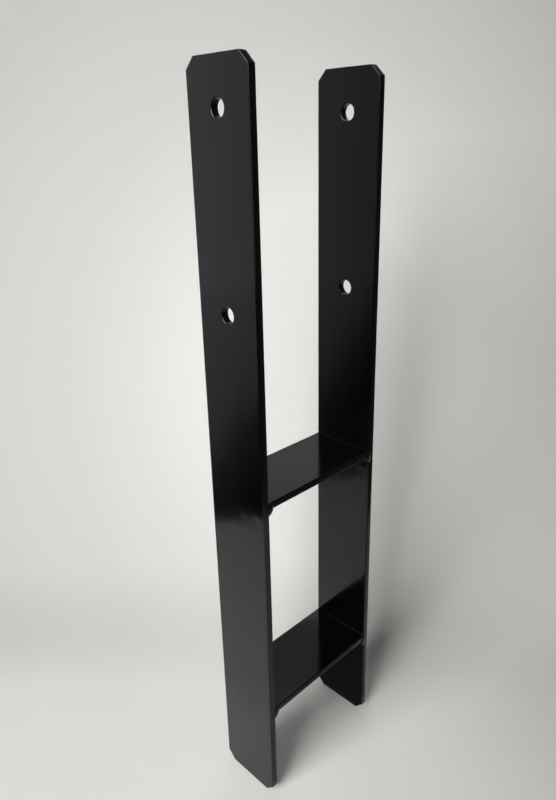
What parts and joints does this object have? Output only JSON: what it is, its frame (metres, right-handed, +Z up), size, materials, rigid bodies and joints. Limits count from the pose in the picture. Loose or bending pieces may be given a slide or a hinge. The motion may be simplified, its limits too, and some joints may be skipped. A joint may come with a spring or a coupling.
{
  "type": "post anchor",
  "caption": "H-shaped welded post anchor of flat steel bar: level cross plates between tall legs with cut corners and bolt holes, to be cast in concrete and hold a square post.",
  "frame": {"origin": "on the ground at the middle of the foot, halfway between the legs", "axes": "+Z up along the legs, +X across the gap from the left leg to the right leg, +Y along the width of the bar"},
  "size_m": [0.133, 0.0622, 0.6],
  "materials": {
    "powder_coat": "gloss black powder coat on rolled flat steel bar",
    "coated_weld": "gloss black powder coat over weld beads"
  },
  "bodies": {
    "root": {"left_leg": "powder_coat", "right_leg": "powder_coat", "upper_cross_plate": "powder_coat", "lower_cross_plate": "powder_coat", "upper_left_weld": "coated_weld", "upper_right_weld": "coated_weld", "lower_left_weld": "coated_weld", "lower_right_weld": "coated_weld"}
  },
  "joints": []
}
